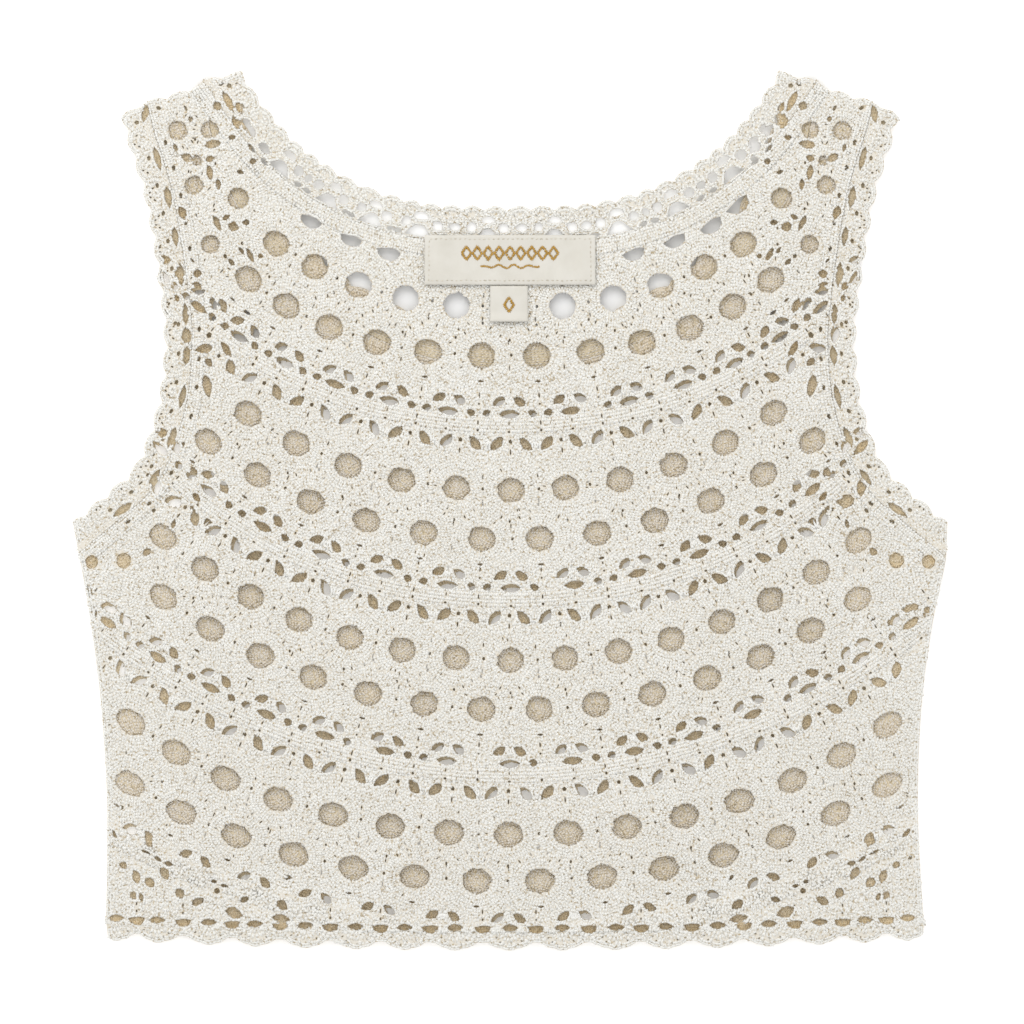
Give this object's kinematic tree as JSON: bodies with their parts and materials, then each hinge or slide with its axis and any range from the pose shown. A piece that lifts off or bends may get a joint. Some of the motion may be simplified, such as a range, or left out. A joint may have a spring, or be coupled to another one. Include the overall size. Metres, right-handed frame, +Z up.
{
  "type": "crochet top",
  "caption": "Sleeveless cropped crochet top laid flat, with scooped neck, round openwork cells, scalloped edges and a blank neck label.",
  "frame": {"origin": "middle of the outline on the surface the top lies on, under the lower panel", "axes": "+X across the top towards the strap that is on the right when the labelled panel is seen from above, +Y from hem to neck, +Z up out of the cloth"},
  "size_m": [0.42, 0.422, 0.0068],
  "materials": {
    "ecru_cotton": "matte crocheted cotton yarn",
    "cream_satin": "woven satin with a soft sheen"
  },
  "bodies": {
    "root": {"front_panel": "ecru_cotton", "front_neck_edging": "ecru_cotton", "front_armhole_edging_left": "ecru_cotton", "front_armhole_edging_right": "ecru_cotton", "front_hem_edging": "ecru_cotton", "back_panel": "ecru_cotton", "back_neck_edging": "ecru_cotton", "back_armhole_edging_left": "ecru_cotton", "back_armhole_edging_right": "ecru_cotton", "back_hem_edging": "ecru_cotton", "neck_label": "cream_satin", "size_tab": "cream_satin"}
  },
  "joints": []
}
